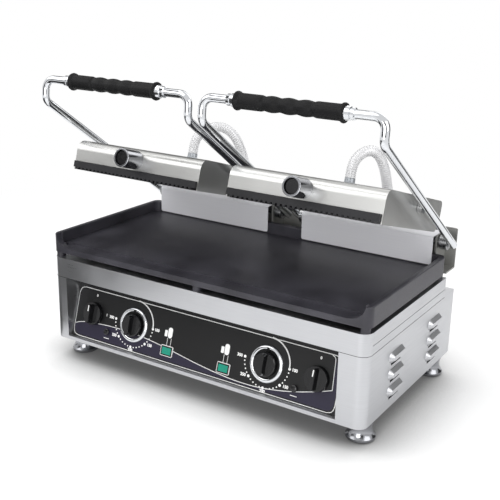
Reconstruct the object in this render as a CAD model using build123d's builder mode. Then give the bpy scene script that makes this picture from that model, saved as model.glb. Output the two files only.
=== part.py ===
from build123d import *
from math import asin, cos, degrees, radians, sin
import os

# Double contact grill. Millimetres, +Z up, front faces -Y.
# The origin is on the ground under the middle of the whole outline, from the grips
# to the cable gland. The sizes below count y from the housing's front face, and
# the planes that carry the sketches move it back to that origin.

# Driving dimensions of the lower housing
body_width = 570.0
wall = 1.5
foot_height = 36.0
body_height = 108.0
front_corner_radius = 16.0
seat_gap = 0.3
running_gap = 0.05

# Top frame, the band above the panel
frame_height = 33.0
frame_depth = 281.0
frame_flange = 20.0
groove_height = 13.0
groove_depth = 0.6

# Sloped shelf behind the top frame
shelf_depth = 41.0
shelf_rise = 11.0
shelf_drop = 2.0

# Recessed control panel
panel_margin_left = 28.5
panel_margin_right = 42.5
panel_tilt = 17.0
panel_setback = 8.0
panel_lip = 6.0
panel_play = 1.0
panel_thickness = 2.0
knob_row = 44.0
reset_row = 21.0
lamp_row = 19.0
switch_margin = 40.5
switch_pitch = 84.0
reset_pitch = 32.5
lamp_pitch = 71.5

# Lower cast plate
plate_gap = 8.0
plate_thickness = 12.0
plate_rim = 18.0
plate_front = 2.0
plate_setback = 7.0
plate_corner = 12.0
tray_corner = 9.0
side_rim = 8.0
rear_rim = 10.5
lip_rise = 3.0
lip_width = 10.0
gutter_depth = 3.0
gutter_width = 14.0
corner_run = 30.0
rim_round = 1.5
hollow_margin = 22.0
hollow_depth = 2.0
spacer_radius = 7.0

# Rear hinge
hinge_inset = 32.0
hinge_rise = 34.0
shaft_radius = 7.0
hub_radius = 12.0
hub_length = 12.0
ear_thickness = 3.0
ear_inset = 19.0
ear_front_gap = 15.0
carrier_drop = 3.0
carrier_rise = 16.5
carrier_sheet = 2.5
carrier_setback = 1.5
carrier_inset = 2.0
carrier_lap = 2.0
carrier_corner = 3.0
leg_width = 40.0
leg_depth = 33.0
leg_inset = 80.0
cover_reach = 28.0
cover_height = 46.0
cover_depth = 39.0
cover_sheet = 1.2
cover_bend = 4.0
cover_end_gap = 15.5

# Arms and handles
arm_inner = 12.0
arm_overhang = 1.0
arm_gap = 8.0
tube_radius = 6.0
arm_reach = 357.0
arm_angle = 34.8
arm_tail = 8.6
neck_height = 33.0
neck_lean = 4.0
bend_radius = 16.0
grip_length = 152.0
ferrule_radius = 9.5
ferrule_length = 8.0
grip_radius = 11.0
flange_radius = 13.0
pivot_reach = 143.0
pivot_radius = 5.0
pivot_collar = 8.0

# Upper units
lid_depth = 225.0
lid_height = 48.0
lid_tilt = 16.3
lid_wall = 1.5
lid_front_radius = 16.0
lid_rear_radius = 8.0
pivot_along = 128.0
pivot_up = 32.3
upper_plate_height = 13.5
rib_pitch = 8.0
rib_height = 3.5
rib_land = 3.4
rib_root = 3.4
plate_nose = 4.0
knob_radius = 14.5
knob_length = 36.0
knob_rise = 30.0
knob_cup = 11.5
knob_cup_depth = 9.0

# Elements, conduits and small parts
element_radius = 3.25
element_runs = 4
element_play = 0.1
element_side_margin = 35.0
element_end_margin = 40.0
lid_element_margin = 30.0
spring_play = 1.0
spring_wire = 4.0
spring_length = 70.0
spring_offset = 50.0
conduit_radius = 6.5
conduit_bore = 4.5
conduit_valley = 5.4
conduit_pitch = 12.0
conduit_lead = 13.0
conduit_front_reach = 47.0
conduit_rear_inset = 11.0
conduit_shifts = {"left": (-32.0, 46.0), "right": (-23.0, 20.0)}
gland_radius = 10.0
gland_height = 12.0
foot_radius = 22.0
foot_neck = 17.0
foot_inset_x = 23.0
foot_inset_front = 45.0
foot_inset_rear = 21.0
pad_radius = 17.0
pad_height = 3.0
thermostat_radius = 25.0
thermostat_grip = 18.5
switch_radius = 19.0
reset_radius = 3.5
reset_travel = 2.0
reset_depth = 6.0
reset_proud = 3.0
lamp_width = 18.0
lamp_height = 12.0
bezel_margin = 2.5
cable_gland_radius = 8.0
cable_gland_length = 15.0
cable_gland_inner = 12.0
cable_gland_nut = 6.0
cable_gland_inset = 85.0
cable_gland_rise = 24.0
gland_bore = 5.0

# Bodies behind the panel
thermostat_body = (36.0, 40.0, 24.0)
switch_body = (38.0, 38.0, 30.0)
cutout_radius = 11.0
cutout_length = 18.0
spindle_radius = 3.0
spindle_depth = 14.0
body_clearance = 0.5
terminal_body = (60.0, 22.0, 20.0)
terminal_inset = 60.0
terminal_pitch = 12.0
terminal_hole = 3.0
terminal_hole_depth = 8.0
shield_rib_width = 6.0
shield_rib_height = 4.0
shield_play = 2.0

# Places worked out from the driving dimensions
half_width = body_width / 2
body_depth = frame_depth + shelf_depth
plate_back = frame_depth - plate_setback
panel_left = -half_width + panel_margin_left
panel_right = half_width - panel_margin_right
seam_z = foot_height + body_height
frame_top = seam_z + frame_height
plate_base = frame_top + plate_gap
cook_z = plate_base + plate_thickness
rim_z = cook_z + plate_rim
panel_middle = (panel_left + panel_right) / 2
panel_width = panel_right - panel_left
switch_offset = panel_width / 2 - switch_margin
thermostat_offset = switch_offset - switch_pitch
reset_offset = switch_offset - reset_pitch
lamp_offset = thermostat_offset - lamp_pitch
arm_outer = half_width + arm_overhang
lid_width = arm_outer - arm_inner - 2 * tube_radius - 2 * arm_gap
hinge_y = body_depth - hinge_inset
hinge_z = cook_z + hinge_rise
carrier_base = plate_base - carrier_drop
carrier_top = hinge_z + carrier_rise
carrier_back = body_depth - carrier_setback
carrier_front = frame_depth + carrier_lap
carrier_half_width = half_width - carrier_inset
cover_front = hinge_y - cover_reach
unit_middle = (arm_inner + arm_outer) / 2
unit_half = (arm_outer - arm_inner) / 2
shelf_back_z = seam_z + shelf_drop
shelf_slope = shelf_rise / (body_depth - frame_depth - seat_gap)
cover_base = cook_z + 2.0
cover_top = cover_base + cover_height
tilt_sin = sin(radians(lid_tilt))
tilt_cos = cos(radians(lid_tilt))
arm_sin = sin(radians(arm_angle))
arm_cos = cos(radians(arm_angle))
pivot_y = hinge_y - pivot_reach * arm_cos
pivot_z = hinge_z + pivot_reach * arm_sin
kink_y = hinge_y - (arm_reach - arm_tail) * arm_cos
kink_z = hinge_z + (arm_reach - arm_tail) * arm_sin
bar_y = kink_y + neck_lean
bar_z = kink_z + neck_height
tail_y = hinge_y + arm_tail * arm_cos
tail_z = hinge_z - arm_tail * arm_sin
outline_front = bar_y - flange_radius
outline_back = body_depth - seat_gap + cable_gland_length
middle_y = (outline_front + outline_back) / 2

os.makedirs("parts", exist_ok=True)
finished = []


def shift(y):
    """y of the layout, counted from the housing's front face, as y of the part"""
    return y - middle_y


def side_plane(x):
    """sketch plane seen from the right: first axis to the rear, second up"""
    return Plane(origin=(x, shift(0), 0), x_dir=(0, 1, 0), z_dir=(1, 0, 0))


def level_plane(z):
    return Plane(origin=(0, shift(0), z), x_dir=(1, 0, 0), z_dir=(0, 0, 1))


def lid_side(x):
    """plane of an upper unit's profile: along the unit to the rear, then up from its plate"""
    corner_y = pivot_y - pivot_along * tilt_cos - pivot_up * tilt_sin
    corner_z = pivot_z + pivot_along * tilt_sin - pivot_up * tilt_cos
    return Plane(origin=(x, shift(corner_y), corner_z), x_dir=(0, tilt_cos, -tilt_sin), z_dir=(1, 0, 0))


def lid_face(x, along):
    """plane across an upper unit that looks to the front: x, then up from its plate"""
    side = lid_side(x)
    start = side.origin + side.x_dir * along
    return Plane(origin=start, x_dir=(1, 0, 0), z_dir=(0, -tilt_cos, tilt_sin))


def lid_top(x, along, up):
    """plane on an upper unit that looks away from its plate"""
    side = lid_side(x)
    start = side.origin + side.x_dir * along + side.y_dir * up
    return Plane(origin=start, x_dir=(1, 0, 0), z_dir=(0, tilt_sin, tilt_cos))


def panel_plane(depth=0.0):
    """outer face of the control panel, or a plane that far in front of it"""
    lean = radians(panel_tilt)
    outward = Vector(0, -cos(lean), sin(lean))
    start = Vector(panel_middle, shift(panel_setback), foot_height + panel_lip) + outward * depth
    return Plane(origin=start, x_dir=(1, 0, 0), z_dir=outward)


def keep(name, part):
    part.label = name
    export_step(part, "parts/" + name + ".step")
    finished.append((name, part.volume))


# Lower housing: folded shell with side walls, front posts and a sloped rear shelf
with BuildPart() as base_housing:
    with BuildSketch(side_plane(-half_width)):
        with BuildLine():
            Polyline(
                (0, foot_height),
                (body_depth, foot_height),
                (body_depth, shelf_back_z),
                (frame_depth + seat_gap, shelf_back_z + shelf_rise),
                (frame_depth + seat_gap, seam_z),
                (0, seam_z),
                close=True,
            )
        make_face()
    extrude(amount=body_width)
    front_edges = base_housing.edges().filter_by(Axis.Z).group_by(Axis.Y)[0]
    fillet(front_edges, front_corner_radius)
    with BuildSketch(level_plane(foot_height)):
        with Locations((0, (body_depth + wall) / 2 + wall)):
            Rectangle(body_width - 2 * wall, body_depth + wall)
        fillet(vertices().group_by(Axis.Y)[0], front_corner_radius - wall)
    extrude(amount=body_height - wall, mode=Mode.SUBTRACT)
    with BuildSketch(level_plane(seam_z - wall)):
        with Locations((0, (frame_depth + wall) / 2)):
            Rectangle(body_width - 2 * wall, frame_depth - wall)
        fillet(vertices().group_by(Axis.Y)[0], front_corner_radius - wall)
    extrude(amount=wall, mode=Mode.SUBTRACT)
    with BuildSketch(side_plane(-half_width + wall)):
        with BuildLine():
            Polyline(
                (frame_depth - wall, seam_z - wall),
                (body_depth + wall, seam_z - wall),
                (body_depth + wall, shelf_back_z - wall - wall * shelf_slope),
                (frame_depth - wall, shelf_back_z + shelf_rise - wall + 2 * wall * shelf_slope),
                close=True,
            )
        make_face()
    extrude(amount=body_width - 2 * wall, mode=Mode.SUBTRACT)
    # window of the control panel, its cheeks and its lower lip
    window_height = body_height - panel_lip
    with BuildSketch(Plane.XZ.offset(-shift(0))):
        with Locations((panel_middle, foot_height + panel_lip + window_height / 2)):
            Rectangle(panel_width, window_height)
    extrude(amount=-2 * wall, mode=Mode.SUBTRACT)
    panel_top_y = panel_setback + window_height * sin(radians(panel_tilt)) / cos(radians(panel_tilt))
    for cheek_x in (panel_left - wall, panel_right):
        with BuildSketch(side_plane(cheek_x)):
            with BuildLine():
                Polyline(
                    (wall / 2, foot_height + wall + seat_gap),
                    (panel_setback + panel_thickness + wall, foot_height + wall + seat_gap),
                    (panel_top_y + panel_thickness + wall, seam_z),
                    (wall / 2, seam_z),
                    close=True,
                )
            make_face()
        extrude(amount=wall)
    with BuildSketch(side_plane(panel_left)):
        with BuildLine():
            Polyline(
                (wall / 2, foot_height + panel_lip - 2 * wall),
                (panel_setback, foot_height + panel_lip - wall),
                (panel_setback, foot_height + panel_lip - seat_gap),
                (wall / 2, foot_height + panel_lip - seat_gap),
                close=True,
            )
        make_face()
    extrude(amount=panel_width)

# Pressed louvres, two columns of three on each side wall: a hood that opens downwards
louvre_length = 50.0
louvre_height = 17.0
louvre_reach = 6.0
louvre_column_pitch = 144.0
louvre_row_pitch = 26.5
louvre_middle_y = 171.0
louvre_middle_z = 89.0
hood_sheet = 1.2
for side in (-1, 1):
    # the plane looks out of the wall; its first axis runs to the rear on both sides
    wall_plane = Plane(
        origin=(side * half_width, shift(louvre_middle_y), louvre_middle_z),
        x_dir=(0, side, 0),
        z_dir=(side, 0, 0),
    )
    inside_plane = wall_plane.offset(-wall - hood_sheet)
    with base_housing:
        with BuildSketch(wall_plane):
            with GridLocations(louvre_column_pitch, louvre_row_pitch, 2, 3):
                SlotOverall(louvre_length, louvre_height)
        extrude(amount=louvre_reach, taper=40)
        with BuildSketch(inside_plane):
            with GridLocations(louvre_column_pitch, louvre_row_pitch, 2, 3):
                SlotOverall(louvre_length - hood_sheet, louvre_height - hood_sheet)
        extrude(amount=louvre_reach + wall, taper=32, mode=Mode.SUBTRACT)
        mouth = louvre_height / 2
        with BuildSketch(wall_plane.offset(-wall - hood_sheet)):
            for row in (-1, 0, 1):
                with Locations((0, row * louvre_row_pitch - mouth)):
                    with GridLocations(louvre_column_pitch, 1, 2, 1):
                        Rectangle(louvre_length - louvre_height, mouth)
        extrude(amount=wall + hood_sheet + louvre_reach, mode=Mode.SUBTRACT)
keep("base_housing", base_housing.part)

# Rear panel with vent slots and the hole of the cable gland
gland_x = cable_gland_inset - half_width
gland_z = foot_height + cable_gland_rise
rear_panel_height = shelf_back_z - foot_height - 2 * wall
with BuildPart() as rear_panel:
    with BuildSketch(Plane.XZ.offset(-shift(body_depth - seat_gap))):
        with Locations((0, foot_height + wall + rear_panel_height / 2)):
            Rectangle(body_width - 2 * wall - 2 * seat_gap, rear_panel_height - 2 * seat_gap)
        with Locations((0, foot_height + body_height * 0.6)):
            with GridLocations(36, 14, 9, 3):
                Rectangle(26, 4, mode=Mode.SUBTRACT)
        with Locations((gland_x, gland_z)):
            Circle(cable_gland_radius, mode=Mode.SUBTRACT)
    extrude(amount=wall)
keep("rear_panel", rear_panel.part)

# Bottom plate with vent slots and a clearance hole above each foot
foot_places = [
    (sx * (half_width - foot_inset_x), y)
    for sx in (-1, 1)
    for y in (foot_inset_front, body_depth - foot_inset_rear)
]
stud_radius = 4.0
with BuildPart() as bottom_plate:
    with BuildSketch(level_plane(foot_height)):
        with Locations((0, body_depth / 2)):
            Rectangle(body_width - 2 * wall - 2 * seat_gap, body_depth - 4 * wall - 2 * seat_gap)
        fillet(vertices().group_by(Axis.Y)[0], front_corner_radius)
        with Locations(foot_places):
            Circle(stud_radius + seat_gap, mode=Mode.SUBTRACT)
        with Locations((0, body_depth / 2)):
            with GridLocations(60, 40, 7, 4):
                Rectangle(40, 5, mode=Mode.SUBTRACT)
    extrude(amount=wall)
keep("bottom_plate", bottom_plate.part)

# Bell feet with a stud through the bottom plate, and a rubber pad in each
with BuildPart() as feet:
    for x, y in foot_places:
        with BuildSketch(Plane(origin=(x, shift(y), 0), x_dir=(1, 0, 0), z_dir=(0, -1, 0))):
            with BuildLine():
                Polyline(
                    (0, pad_height),
                    (pad_radius + seat_gap, pad_height),
                    (pad_radius + seat_gap, pad_height / 2),
                    (foot_radius - 1, pad_height / 2),
                    (foot_radius, pad_height),
                    (foot_radius, pad_height + 3),
                )
                ThreePointArc(
                    (foot_radius, pad_height + 3),
                    (foot_neck + 0.6, foot_height * 0.38),
                    (foot_neck, foot_height * 0.62),
                )
                Polyline(
                    (foot_neck, foot_height * 0.62),
                    (foot_neck + 2.5, foot_height - 4),
                    (foot_neck + 2.5, foot_height),
                    (stud_radius, foot_height),
                    (stud_radius, foot_height + wall + 6),
                    (0, foot_height + wall + 6),
                    (0, pad_height),
                )
            make_face()
        revolve(axis=Axis((x, shift(y), 0), (0, 0, 1)))
keep("feet", feet.part)

with BuildPart() as foot_pads:
    with BuildSketch(level_plane(0)):
        with Locations(foot_places):
            Circle(pad_radius)
    extrude(amount=pad_height)
    chamfer(foot_pads.faces().sort_by(Axis.Z)[:4].edges(), 0.8)
keep("foot_pads", foot_pads.part)

# Top frame: band with an inward flange above and a shelf below that roofs the panel
panel_roof = panel_top_y + panel_thickness + 6
with BuildPart() as top_frame:
    with BuildSketch(level_plane(seam_z)):
        with Locations((0, frame_depth / 2)):
            Rectangle(body_width, frame_depth)
        fillet(vertices().group_by(Axis.Y)[0], front_corner_radius)
    extrude(amount=frame_height)
    with BuildSketch(level_plane(seam_z + wall)):
        with Locations((0, frame_depth / 2)):
            Rectangle(body_width - 2 * wall, frame_depth - 2 * wall)
        fillet(vertices().group_by(Axis.Y)[0], front_corner_radius - wall)
    extrude(amount=frame_height - 2 * wall, mode=Mode.SUBTRACT)
    with BuildSketch(level_plane(seam_z)):
        with Locations((0, (panel_roof + frame_depth - frame_flange) / 2)):
            Rectangle(body_width - 2 * frame_flange, frame_depth - frame_flange - panel_roof)
    extrude(amount=wall, mode=Mode.SUBTRACT)
    with BuildSketch(level_plane(frame_top - wall)):
        with Locations((0, frame_depth / 2)):
            Rectangle(body_width - 2 * frame_flange, frame_depth - 2 * frame_flange)
    extrude(amount=wall, mode=Mode.SUBTRACT)
    # fold line along both sides
    for side in (-1, 1):
        with BuildSketch(Plane.XY.offset(seam_z + groove_height)):
            with Locations((side * half_width, shift(frame_depth / 2 + front_corner_radius / 2))):
                Rectangle(2 * groove_depth, frame_depth - front_corner_radius)
        extrude(amount=1.0, mode=Mode.SUBTRACT)
keep("top_frame", top_frame.part)

# Heat shield lying on the lower flange, between the elements and the wiring
with BuildPart() as heat_shield:
    shield_front = panel_roof - frame_flange / 2
    shield_back = frame_depth - 2 * wall - seat_gap
    with BuildSketch(level_plane(seam_z + wall)):
        with Locations((0, (shield_front + shield_back) / 2)):
            Rectangle(body_width - 2 * wall - 2 * shield_play, shield_back - shield_front)
    extrude(amount=wall)
    with BuildSketch(level_plane(seam_z + 2 * wall)):
        with Locations((0, (shield_front + shield_back) / 2)):
            with GridLocations(half_width / 2, 1, 4, 1):
                Rectangle(shield_rib_width, 0.85 * (shield_back - shield_front))
    extrude(amount=shield_rib_height)
keep("heat_shield", heat_shield.part)

# Control panel with holes for everything that passes through it
panel_length = window_height / cos(radians(panel_tilt)) - panel_play
knob_places = [
    (-switch_offset, knob_row),
    (-thermostat_offset, knob_row),
    (thermostat_offset, knob_row),
    (switch_offset, knob_row),
]
reset_places = [(-reset_offset, reset_row), (reset_offset, reset_row)]
lamp_places = [(-lamp_offset, lamp_row), (lamp_offset, lamp_row)]
with BuildPart() as control_panel:
    with BuildSketch(panel_plane(-panel_thickness)):
        with Locations((0, panel_length / 2)):
            Rectangle(panel_width - 2 * seat_gap, panel_length)
        with Locations(knob_places):
            Circle(spindle_radius + 1.5, mode=Mode.SUBTRACT)
        with Locations(reset_places):
            Circle(reset_radius + seat_gap, mode=Mode.SUBTRACT)
        with Locations(lamp_places):
            Rectangle(lamp_width, lamp_height, mode=Mode.SUBTRACT)
    extrude(amount=panel_thickness)
keep("control_panel", control_panel.part)

# Lower cast plate: flat cooking face, high side and rear rims, low front lip
with BuildPart() as lower_plate:
    plate_depth = plate_back - plate_front
    plate_middle = (plate_back + plate_front) / 2
    with BuildSketch(level_plane(plate_base)):
        with Locations((0, plate_middle)):
            RectangleRounded(body_width, plate_depth, plate_corner)
    extrude(amount=rim_z - plate_base)
    # tray inside the rims, open over the front lip
    tray_front = plate_front + lip_width
    with BuildSketch(level_plane(cook_z)):
        with Locations((0, (tray_front + plate_back - rear_rim) / 2)):
            RectangleRounded(body_width - 2 * side_rim, plate_back - rear_rim - tray_front, tray_corner)
    extrude(amount=plate_rim, mode=Mode.SUBTRACT)
    fillet(lower_plate.edges().group_by(Axis.Z)[-1], rim_round)
    # gutter behind the lip
    with BuildSketch(level_plane(cook_z - gutter_depth)):
        with Locations((0, tray_front + gutter_width / 2)):
            SlotOverall(body_width - 4 * side_rim, gutter_width)
    extrude(amount=gutter_depth, mode=Mode.SUBTRACT)
    # the rim falls in a curve from each front corner to the lip
    lip_z = cook_z - lip_rise
    with BuildSketch(Plane.XZ.offset(-shift(plate_front))):
        with BuildLine():
            dip_half = half_width - side_rim
            Line((-dip_half, rim_z + 1), (-dip_half, rim_z - 1))
            Spline(
                (-dip_half, rim_z - 1),
                (-dip_half + corner_run, lip_z),
                tangents=[(0.25, -1), (1, 0)],
            )
            Line((-dip_half + corner_run, lip_z), (dip_half - corner_run, lip_z))
            Spline(
                (dip_half - corner_run, lip_z),
                (dip_half, rim_z - 1),
                tangents=[(1, 0), (0.25, 1)],
            )
            Line((dip_half, rim_z - 1), (dip_half, rim_z + 1))
            Line((dip_half, rim_z + 1), (-dip_half, rim_z + 1))
        make_face()
    extrude(amount=-lip_width - 1, mode=Mode.SUBTRACT)
    # hollow underside that holds the elements
    with BuildSketch(level_plane(plate_base)):
        with Locations((0, plate_middle)):
            Rectangle(body_width - 2 * hollow_margin, plate_depth - 2 * hollow_margin)
    extrude(amount=hollow_depth, mode=Mode.SUBTRACT)
keep("lower_plate", lower_plate.part)

# Spacers that carry the plate on the top frame
with BuildPart() as plate_spacers:
    with BuildSketch(level_plane(frame_top)):
        with Locations((0, frame_depth / 2)):
            with GridLocations(half_width - 10, frame_depth - frame_flange - wall, 3, 2):
                Circle(spacer_radius)
    extrude(amount=plate_gap)
keep("plate_spacers", plate_spacers.part)


def serpentine(width, depth, runs):
    """corner points of a flat heating element, centred on the origin"""
    pitch = depth / (runs - 1)
    points = []
    for run in range(runs):
        v = -depth / 2 + run * pitch
        ends = (-width / 2, width / 2)
        if run % 2:
            ends = (width / 2, -width / 2)
        points += [(ends[0], v), (ends[1], v)]
    return points


def element(plane, width, depth):
    """heating element tube in the given plane"""
    points = serpentine(width, depth, element_runs)
    turn = depth / (element_runs - 1) / 2
    with BuildPart() as tube:
        with BuildLine(plane) as route:
            FilletPolyline(*points, radius=turn * 0.98)
        start = route.wires()[0]
        with BuildSketch(Plane(origin=start @ 0, z_dir=start % 0)):
            RegularPolygon(element_radius, 8)
        sweep()
    return tube.part


hand = {"left": -1, "right": 1}
for name, side in hand.items():
    bed = level_plane(plate_base + hollow_depth - element_radius - element_play)
    bed.origin = (side * body_width / 4, shift(plate_middle), bed.origin.Z)
    bed_width = half_width - 2 * element_side_margin
    bed_depth = plate_depth - 2 * element_end_margin
    keep("lower_element_" + name, element(bed, bed_width, bed_depth))

# Hinge carrier: folded back wall and floor, ears for the shafts, legs on the shelf
ear_places = []
for side in (-1, 1):
    ear_places += [side * (arm_inner + ear_inset + ear_thickness), side * (arm_outer - ear_inset - ear_thickness)]
with BuildPart() as hinge_carrier:
    with BuildSketch(side_plane(-carrier_half_width)):
        with BuildLine():
            Polyline(
                (carrier_front, carrier_base),
                (carrier_back, carrier_base),
                (carrier_back, carrier_top),
                (carrier_back - carrier_sheet, carrier_top),
                (carrier_back - carrier_sheet, carrier_base + carrier_sheet),
                (carrier_front, carrier_base + carrier_sheet),
                close=True,
            )
        make_face()
    extrude(amount=2 * carrier_half_width)
    fold = hinge_carrier.edges().filter_by(Axis.X).sort_by_distance((0, shift(carrier_back), carrier_base))[0]
    fillet(fold, carrier_sheet)
    corners = hinge_carrier.edges().filter_by(Axis.Y).group_by(Axis.Z)[-1]
    fillet(corners, carrier_corner)
    for ear_x in ear_places:
        with BuildSketch(side_plane(ear_x - ear_thickness / 2)):
            with BuildLine():
                ear_front = cover_front + cover_sheet + ear_front_gap
                Polyline(
                    (ear_front, carrier_base + carrier_sheet),
                    (carrier_back - carrier_sheet, carrier_base + carrier_sheet),
                    (carrier_back - carrier_sheet, cover_top - cover_sheet - 20),
                    (cover_front + cover_depth, cover_top - cover_sheet - seat_gap),
                    (ear_front, cover_top - cover_sheet - seat_gap),
                    close=True,
                )
            make_face()
            with Locations((hinge_y, hinge_z)):
                Circle(shaft_radius + running_gap, mode=Mode.SUBTRACT)
        extrude(amount=ear_thickness)
    for leg_x in (leg_inset - half_width, 0, half_width - leg_inset):
        with BuildSketch(side_plane(leg_x - leg_width / 2)):
            leg_back = carrier_back - carrier_sheet
            leg_front = leg_back - leg_depth
            with BuildLine():
                Polyline(
                    (leg_front, carrier_base),
                    (leg_back, carrier_base),
                    (leg_back, shelf_back_z + (body_depth - leg_back) * shelf_slope),
                    (leg_front, shelf_back_z + (body_depth - leg_front) * shelf_slope),
                    close=True,
                )
            make_face()
        extrude(amount=leg_width)
conduit_front_y = hinge_y - conduit_front_reach
conduit_rear_y = carrier_back - conduit_rear_inset
conduit_ends = {}
for name, side in hand.items():
    front_shift, rear_shift = conduit_shifts[name]
    conduit_ends[name] = (side * unit_middle + front_shift, side * unit_middle + rear_shift)
# holes in the floor where the conduits' wires go down
with hinge_carrier:
    with BuildSketch(level_plane(carrier_base)):
        for name in hand:
            with Locations((conduit_ends[name][1], conduit_rear_y)):
                Circle(conduit_bore)
    extrude(amount=carrier_sheet, mode=Mode.SUBTRACT)
keep("hinge_carrier", hinge_carrier.part)

# Spring covers: folded sheet in front of and over each hinge
for name, side in hand.items():
    length = 2 * unit_half - 2 * cover_end_gap - 2 * tube_radius
    with BuildPart() as spring_cover:
        with BuildSketch(side_plane(side * unit_middle - length / 2)):
            with BuildLine():
                Polyline(
                    (cover_front, cover_base),
                    (cover_front, cover_top),
                    (cover_front + cover_depth, cover_top),
                    (cover_front + cover_depth, cover_top - cover_sheet),
                    (cover_front + cover_sheet, cover_top - cover_sheet),
                    (cover_front + cover_sheet, cover_base),
                    close=True,
                )
            make_face()
        extrude(amount=length)
        bend = spring_cover.edges().filter_by(Axis.X)
        outer_bend = bend.sort_by_distance((0, shift(cover_front), cover_top))[0]
        inner_bend = bend.sort_by_distance((0, shift(cover_front + cover_sheet), cover_top - cover_sheet))[0]
        fillet(outer_bend, cover_bend)
        fillet(inner_bend, cover_bend - cover_sheet)
        foot_corners = spring_cover.edges().filter_by(Axis.Y).group_by(Axis.Z)[0]
        fillet(foot_corners, carrier_corner)
    keep("spring_cover_" + name, spring_cover.part)


for name, side in hand.items():
    middle = side * unit_middle
    left_x = middle - unit_half
    right_x = middle + unit_half

    # bent tube: arm, short neck, cross bar, neck, arm
    with BuildPart() as handle:
        with BuildLine() as route:
            FilletPolyline(
                (left_x, shift(tail_y), tail_z),
                (left_x, shift(kink_y), kink_z),
                (left_x, shift(bar_y), bar_z),
                (right_x, shift(bar_y), bar_z),
                (right_x, shift(kink_y), kink_z),
                (right_x, shift(tail_y), tail_z),
                radius=[bend_radius, bend_radius, bend_radius, bend_radius],
            )
        path = route.wires()[0]
        with BuildSketch(Plane(origin=path @ 0, z_dir=path % 0)):
            Circle(tube_radius)
        sweep()
    keep("handle_" + name, handle.part)

    # grip: plain ends with flanges, three bulges and four necks in the middle
    bar_plane = Plane(origin=(middle, shift(bar_y), bar_z), x_dir=(1, 0, 0), z_dir=(0, -1, 0))
    bulge_zone = grip_length * 0.52
    bulge_pitch = bulge_zone / 3
    waist = grip_radius - 2.0
    half_grip = grip_length / 2
    with BuildPart() as grip:
        with BuildSketch(bar_plane):
            with BuildLine():
                inner = tube_radius + running_gap
                Line((-half_grip, inner), (half_grip, inner))
                Line((half_grip, inner), (half_grip, flange_radius))
                Line((half_grip, flange_radius), (half_grip - 3, flange_radius))
                Line((half_grip - 3, flange_radius), (half_grip - 5, grip_radius))
                Line((half_grip - 5, grip_radius), (bulge_zone / 2 + 5, grip_radius))
                Line((bulge_zone / 2 + 5, grip_radius), (bulge_zone / 2, waist))
                for bulge in range(3):
                    start = bulge_zone / 2 - bulge * bulge_pitch
                    ThreePointArc(
                        (start, waist),
                        (start - bulge_pitch / 2, grip_radius + 0.6),
                        (start - bulge_pitch, waist),
                    )
                Line((-bulge_zone / 2, waist), (-bulge_zone / 2 - 5, grip_radius))
                Line((-bulge_zone / 2 - 5, grip_radius), (-half_grip + 5, grip_radius))
                Line((-half_grip + 5, grip_radius), (-half_grip + 3, flange_radius))
                Line((-half_grip + 3, flange_radius), (-half_grip, flange_radius))
                Line((-half_grip, flange_radius), (-half_grip, inner))
            make_face()
        revolve(axis=Axis((0, shift(bar_y), bar_z), (1, 0, 0)))
    keep("grip_" + name, grip.part)

    # stepped ferrule at each end of the grip
    with BuildPart() as ferrules:
        for end in (-1, 1):
            near = end * (half_grip + running_gap)
            step = near + end * ferrule_length / 2
            far = near + end * ferrule_length
            with BuildSketch(bar_plane):
                with BuildLine():
                    Polyline(
                        (near, inner),
                        (near, ferrule_radius + 1.5),
                        (step, ferrule_radius + 1.5),
                        (step, ferrule_radius - 0.5),
                        (far, ferrule_radius - 1.5),
                        (far, inner),
                        close=True,
                    )
                make_face()
            revolve(axis=Axis((0, shift(bar_y), bar_z), (1, 0, 0)))
    keep("ferrules_" + name, ferrules.part)

    # rear shaft with a hub against each arm
    with BuildPart() as hinge_shaft:
        with BuildSketch(side_plane(left_x + tube_radius)):
            with Locations((hinge_y, hinge_z)):
                Circle(shaft_radius)
        extrude(amount=2 * (unit_half - tube_radius))
        for hub_x in (left_x + tube_radius, right_x - tube_radius - hub_length):
            with BuildSketch(side_plane(hub_x)):
                with Locations((hinge_y, hinge_z)):
                    Circle(hub_radius)
            extrude(amount=hub_length)
    keep("hinge_shaft_" + name, hinge_shaft.part)

    # pivot pins with a collar against the arm and a nut inside the upper unit
    lid_half = lid_width / 2
    with BuildPart() as pivot_pins:
        for end in (-1, 1):
            arm_face = middle + end * (unit_half - tube_radius)
            wall_face = middle + end * (lid_half + seat_gap)
            inner_face = middle + end * (lid_half - lid_wall - seat_gap)
            for radius, first, last in (
                (pivot_collar, arm_face, wall_face),
                (pivot_radius, wall_face, inner_face),
                (pivot_collar, inner_face, inner_face - end * 6),
            ):
                with BuildSketch(side_plane(min(first, last))):
                    with Locations((pivot_y, pivot_z)):
                        Circle(radius)
                extrude(amount=abs(first - last))
    keep("pivot_pins_" + name, pivot_pins.part)

    # torsion spring as the outline of its coils, with a leg to the carrier
    spring_inner = shaft_radius + spring_play
    spring_start = middle - spring_offset
    with BuildPart() as torsion_spring:
        spring_left = spring_start - spring_length / 2
        with BuildSketch(side_plane(spring_left)):
            with Locations((hinge_y, hinge_z)):
                Circle(spring_inner + spring_wire)
                Circle(spring_inner, mode=Mode.SUBTRACT)
        extrude(amount=spring_length)
        leg_y = carrier_back - carrier_sheet
        with BuildSketch(Plane.XZ.offset(-shift(hinge_y + spring_inner))):
            with Locations((spring_left + spring_wire / 2, hinge_z)):
                Circle(spring_wire / 2)
        extrude(amount=-(leg_y - hinge_y - spring_inner))
    keep("torsion_spring_" + name, torsion_spring.part)

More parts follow.
